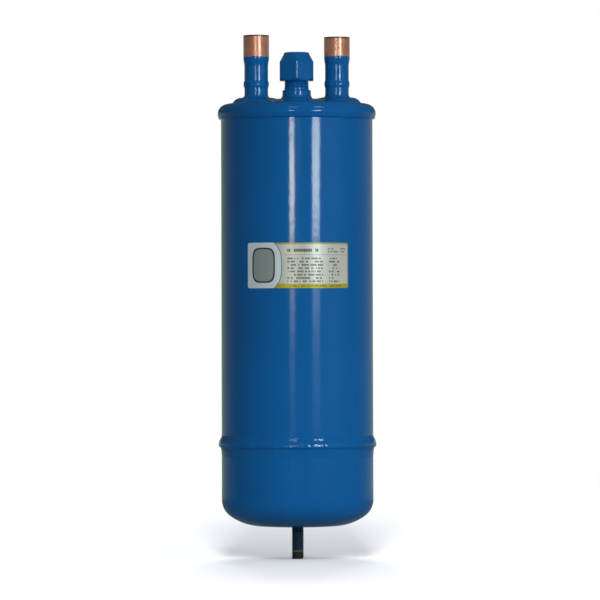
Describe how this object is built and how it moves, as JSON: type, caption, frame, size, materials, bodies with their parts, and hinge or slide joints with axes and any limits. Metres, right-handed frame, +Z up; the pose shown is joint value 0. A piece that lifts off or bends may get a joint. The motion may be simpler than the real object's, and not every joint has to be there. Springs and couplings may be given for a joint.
{
  "type": "oil separator",
  "caption": "Upright welded steel oil separator with copper solder sockets, a flare oil return under a hexagon nut, a fixing stud and a float valve inside.",
  "frame": {"origin": "centre of the vessel's flat underside, at the root of the fixing stud", "axes": "+Z up along the vessel's axis, -Y to the front where the label is, +X to the right from the inlet to the outlet"},
  "size_m": [0.106, 0.106, 0.3503],
  "materials": {
    "blue_paint": "glossy blue enamel with a slight orange peel",
    "stud_steel": "blackened steel thread with overspray near the vessel",
    "copper": "bare drawn copper, painted over on its lower half",
    "label_foil": "printed silver foil",
    "bare_steel": "bare pressed and turned steel",
    "valve_brass": "machined brass"
  },
  "bodies": {
    "vessel": {"shell": "blue_paint", "top_cap": "blue_paint", "bottom_cup": "blue_paint", "cap_weld": "blue_paint", "seam_weld": "blue_paint", "mounting_stud": "stud_steel", "inlet_nipple": "blue_paint", "outlet_nipple": "blue_paint", "inlet_weld": "blue_paint", "outlet_weld": "blue_paint", "inlet_braze": "blue_paint", "outlet_braze": "blue_paint", "inlet_stub": "copper", "outlet_stub": "copper", "flare_fitting": "blue_paint", "fitting_weld": "blue_paint", "flare_nut": "blue_paint", "flare_bonnet": "copper", "rating_label": "label_foil", "inlet_screen": "bare_steel", "inlet_collar": "bare_steel", "inlet_end": "bare_steel", "outlet_screen": "bare_steel", "outlet_collar": "bare_steel", "outlet_end": "bare_steel", "baffle_plate": "bare_steel", "return_tube": "copper", "bracket": "bare_steel", "bracket_rivets": "bare_steel", "valve_body": "valve_brass", "passage_plug": "valve_brass", "valve_seat": "bare_steel", "pivot_pin": "bare_steel"},
    "float": {"float_lever": "bare_steel", "float_ball": "bare_steel"},
    "needle": {"needle": "bare_steel", "link_pin": "bare_steel"}
  },
  "joints": [
    {"name": "float_pivot", "type": "hinge", "parent": "vessel", "child": "float", "pos_m": [-0.0185, 0, 0.02715], "axis": [0, -1, 0], "range_deg": [0, 12]},
    {"name": "needle_lift", "type": "slide", "parent": "vessel", "child": "needle", "axis": [0, 0, 1], "range_m": [0, 0.0014]}
  ],
  "couplings": [
    {"joint": "needle_lift", "follows": "float_pivot", "m_per_rad": 0.0065}
  ]
}
